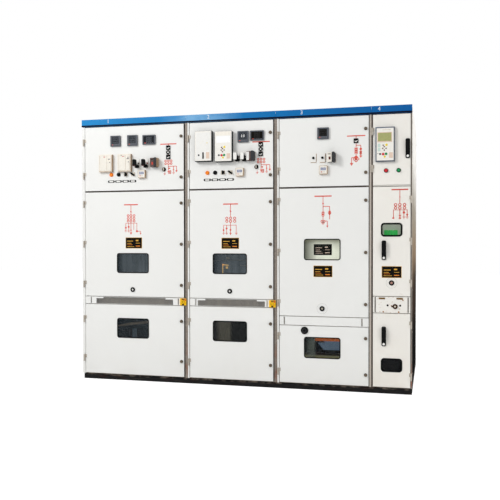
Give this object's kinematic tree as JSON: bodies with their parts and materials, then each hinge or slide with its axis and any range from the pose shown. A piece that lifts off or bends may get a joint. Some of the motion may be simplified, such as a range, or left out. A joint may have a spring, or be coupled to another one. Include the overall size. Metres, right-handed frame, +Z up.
{
  "type": "medium-voltage switchgear line-up",
  "caption": "Metal-clad switchgear panels side by side on a channel base, with instrument doors above, hinged truck and cable doors with windows, and a header fascia.",
  "frame": {"origin": "on the floor, under the middle of the line-up's box", "axes": "+X along the line-up to the narrow panel, +Y to the rear, +Z up; the doors face -Y"},
  "size_m": [2.925, 1.56, 2.35],
  "materials": {
    "base_steel": "worn black paint",
    "bare_sheet": "bare aluminium-zinc coated sheet",
    "door_paint": "textured off-white powder coat",
    "header_paint": "satin blue paint",
    "interlock_yellow": "gloss yellow",
    "hinge_zinc": "dull zinc",
    "truck_slate": "satin slate paint",
    "truck_grey": "satin pale grey",
    "fuse_green": "gloss green moulding",
    "cast_resin": "dark cast resin",
    "passivated_steel": "yellow passivated zinc",
    "bay_paint": "dull bay paint",
    "meter_case": "matte slate",
    "relay_case": "matte beige",
    "control_black": "satin black",
    "window_glass": "tinted glass"
  },
  "bodies": {
    "housing": {"base_rails": "base_steel", "base_cross_members": "base_steel", "end_walls": "bare_sheet", "dividing_walls": "bare_sheet", "front_posts": "bare_sheet", "rear_posts": "bare_sheet", "hinge_posts": "bare_sheet", "cross_rails": "bare_sheet", "roof_plates": "bare_sheet", "relief_flaps": "bare_sheet", "floor_plates": "bare_sheet", "shelves": "bare_sheet", "compartment_backs": "bare_sheet", "vent_strips": "door_paint", "plain_strips": "door_paint", "rear_covers": "door_paint", "instrument_doors": "door_paint", "header_fascias": "header_paint", "interlocks": "interlock_yellow", "hinge_pins": "hinge_zinc", "breaker_trucks": "truck_slate", "transformer_truck": "truck_grey", "contactor_truck": "truck_grey", "fuse_carriers": "fuse_green", "current_transformers": "cast_resin", "transformer_rails": "passivated_steel", "cable_fittings": "bay_paint", "meters": "meter_case", "relays": "relay_case", "indicators": "relay_case", "control_switches": "control_black", "push_buttons": "control_black", "instrument_door_fittings": "control_black"},
    "truck_leaf_1": {"truck_door_1": "door_paint", "truck_window_1": "window_glass", "truck_door_fittings_1": "control_black"},
    "cable_leaf_1": {"cable_door_1": "door_paint", "cable_window_1": "window_glass", "cable_door_fittings_1": "control_black"},
    "truck_leaf_2": {"truck_door_2": "door_paint", "truck_window_2": "window_glass", "truck_door_fittings_2": "control_black"},
    "cable_leaf_2": {"cable_door_2": "door_paint", "cable_window_2": "window_glass", "cable_door_fittings_2": "control_black"},
    "truck_leaf_3": {"truck_door_3": "door_paint", "truck_window_3": "window_glass", "truck_door_fittings_3": "control_black"},
    "cable_leaf_3": {"cable_door_3": "door_paint", "cable_window_3": "window_glass", "cable_door_fittings_3": "control_black"},
    "truck_leaf_4": {"truck_door_4": "door_paint", "truck_window_4": "window_glass", "truck_door_fittings_4": "control_black"},
    "cable_leaf_4": {"cable_door_4": "door_paint", "cable_window_4": "window_glass", "cable_door_fittings_4": "control_black"}
  },
  "joints": [
    {"name": "truck_door_1_hinge", "type": "hinge", "parent": "housing", "child": "truck_leaf_1", "pos_m": [-1.4425, -0.727, 1.2245], "axis": [0, 0, -1], "range_deg": [0, 110]},
    {"name": "cable_door_1_hinge", "type": "hinge", "parent": "housing", "child": "cable_leaf_1", "pos_m": [-1.4425, -0.727, 0.3715], "axis": [0, 0, -1], "range_deg": [0, 110]},
    {"name": "truck_door_2_hinge", "type": "hinge", "parent": "housing", "child": "truck_leaf_2", "pos_m": [-0.4425, -0.727, 1.2245], "axis": [0, 0, -1], "range_deg": [0, 110]},
    {"name": "cable_door_2_hinge", "type": "hinge", "parent": "housing", "child": "cable_leaf_2", "pos_m": [-0.4425, -0.727, 0.3715], "axis": [0, 0, -1], "range_deg": [0, 110]},
    {"name": "truck_door_3_hinge", "type": "hinge", "parent": "housing", "child": "truck_leaf_3", "pos_m": [0.3575, -0.727, 1.157], "axis": [0, 0, -1], "range_deg": [0, 110]},
    {"name": "cable_door_3_hinge", "type": "hinge", "parent": "housing", "child": "cable_leaf_3", "pos_m": [0.3575, -0.727, 0.3], "axis": [0, 0, -1], "range_deg": [0, 110]},
    {"name": "truck_door_4_hinge", "type": "hinge", "parent": "housing", "child": "truck_leaf_4", "pos_m": [1.4555, -0.727, 1.247], "axis": [0, 0, 1], "range_deg": [0, 110]},
    {"name": "cable_door_4_hinge", "type": "hinge", "parent": "housing", "child": "cable_leaf_4", "pos_m": [1.4555, -0.727, 0.36], "axis": [0, 0, 1], "range_deg": [0, 110]}
  ]
}
